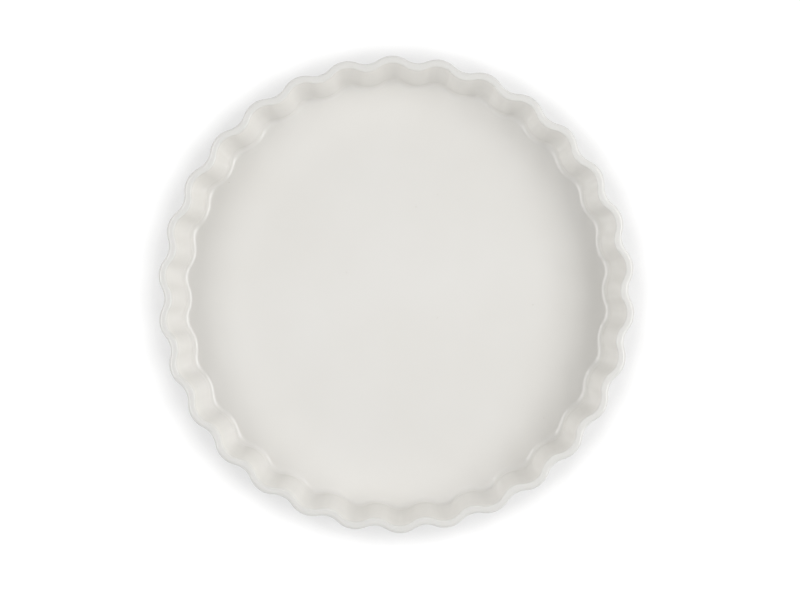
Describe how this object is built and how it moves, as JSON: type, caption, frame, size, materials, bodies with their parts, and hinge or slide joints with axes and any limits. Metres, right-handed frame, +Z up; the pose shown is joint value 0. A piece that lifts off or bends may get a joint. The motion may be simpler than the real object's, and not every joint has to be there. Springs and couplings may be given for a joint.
{
  "type": "pie dish",
  "caption": "Round shallow pie and flan dish in glazed stoneware, with an upright fluted wall, a rounded lip, a flat floor and an unglazed foot ring.",
  "frame": {"origin": "centre of the foot ring's bearing face, on the surface that the dish stands on", "axes": "+Z up out of the dish along its axis, +X through an outward crest of the fluted wall, and so is -X"},
  "size_m": [0.28, 0.2788, 0.04],
  "materials": {
    "bisque_stoneware": "unglazed, fine matt clay, seen only on the foot ring",
    "white_glaze": "soft-gloss warm white glaze, a little thinner and warmer on the lip"
  },
  "bodies": {
    "root": {"stoneware_body": "bisque_stoneware", "glaze_coat": "white_glaze", "base_glaze": "white_glaze"}
  },
  "joints": []
}
